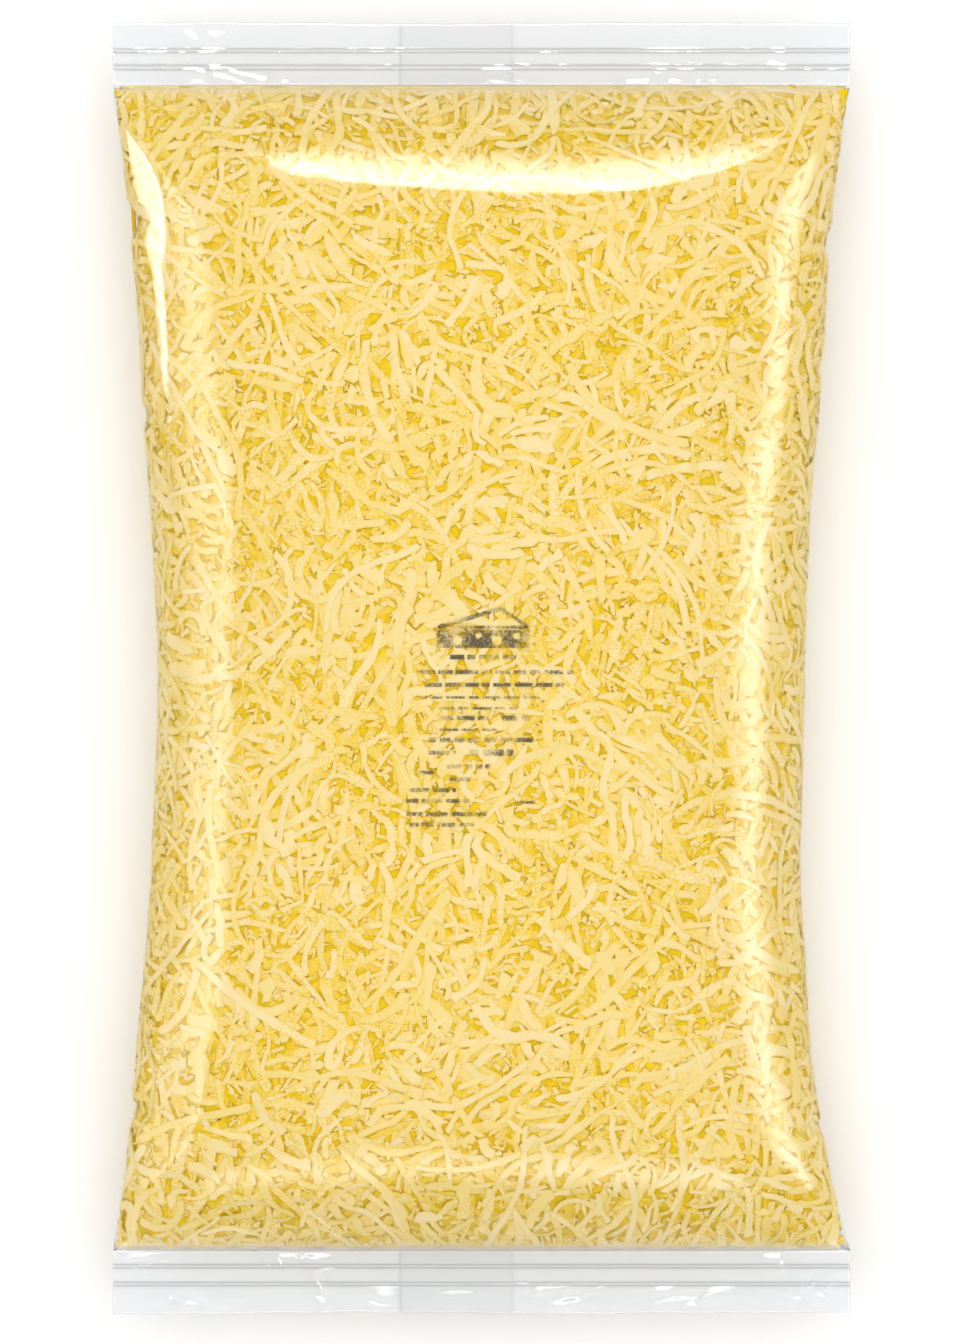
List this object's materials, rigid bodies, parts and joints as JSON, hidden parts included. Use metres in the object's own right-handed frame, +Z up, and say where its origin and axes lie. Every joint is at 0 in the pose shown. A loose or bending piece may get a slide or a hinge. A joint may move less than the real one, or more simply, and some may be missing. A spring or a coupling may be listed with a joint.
{
  "type": "bag of grated cheese",
  "caption": "Clear film pillow bag filled with grated cheese, sealed flat across both ends, lying on its back seam.",
  "frame": {"origin": "middle of the underside, on the surface that the bag lies on", "axes": "+Y along the bag towards its top end seal, +X across it to the right as its front is seen, +Z up out of the front face"},
  "size_m": [0.25, 0.438, 0.066],
  "materials": {
    "cheese": "pale yellow grated cheese seen through clear film",
    "clear_film": "clear, glossy, lightly creased film"
  },
  "bodies": {
    "root": {"filled_pouch": "cheese", "top_end_seal": "clear_film", "bottom_end_seal": "clear_film", "back_seam": "clear_film"}
  },
  "joints": []
}
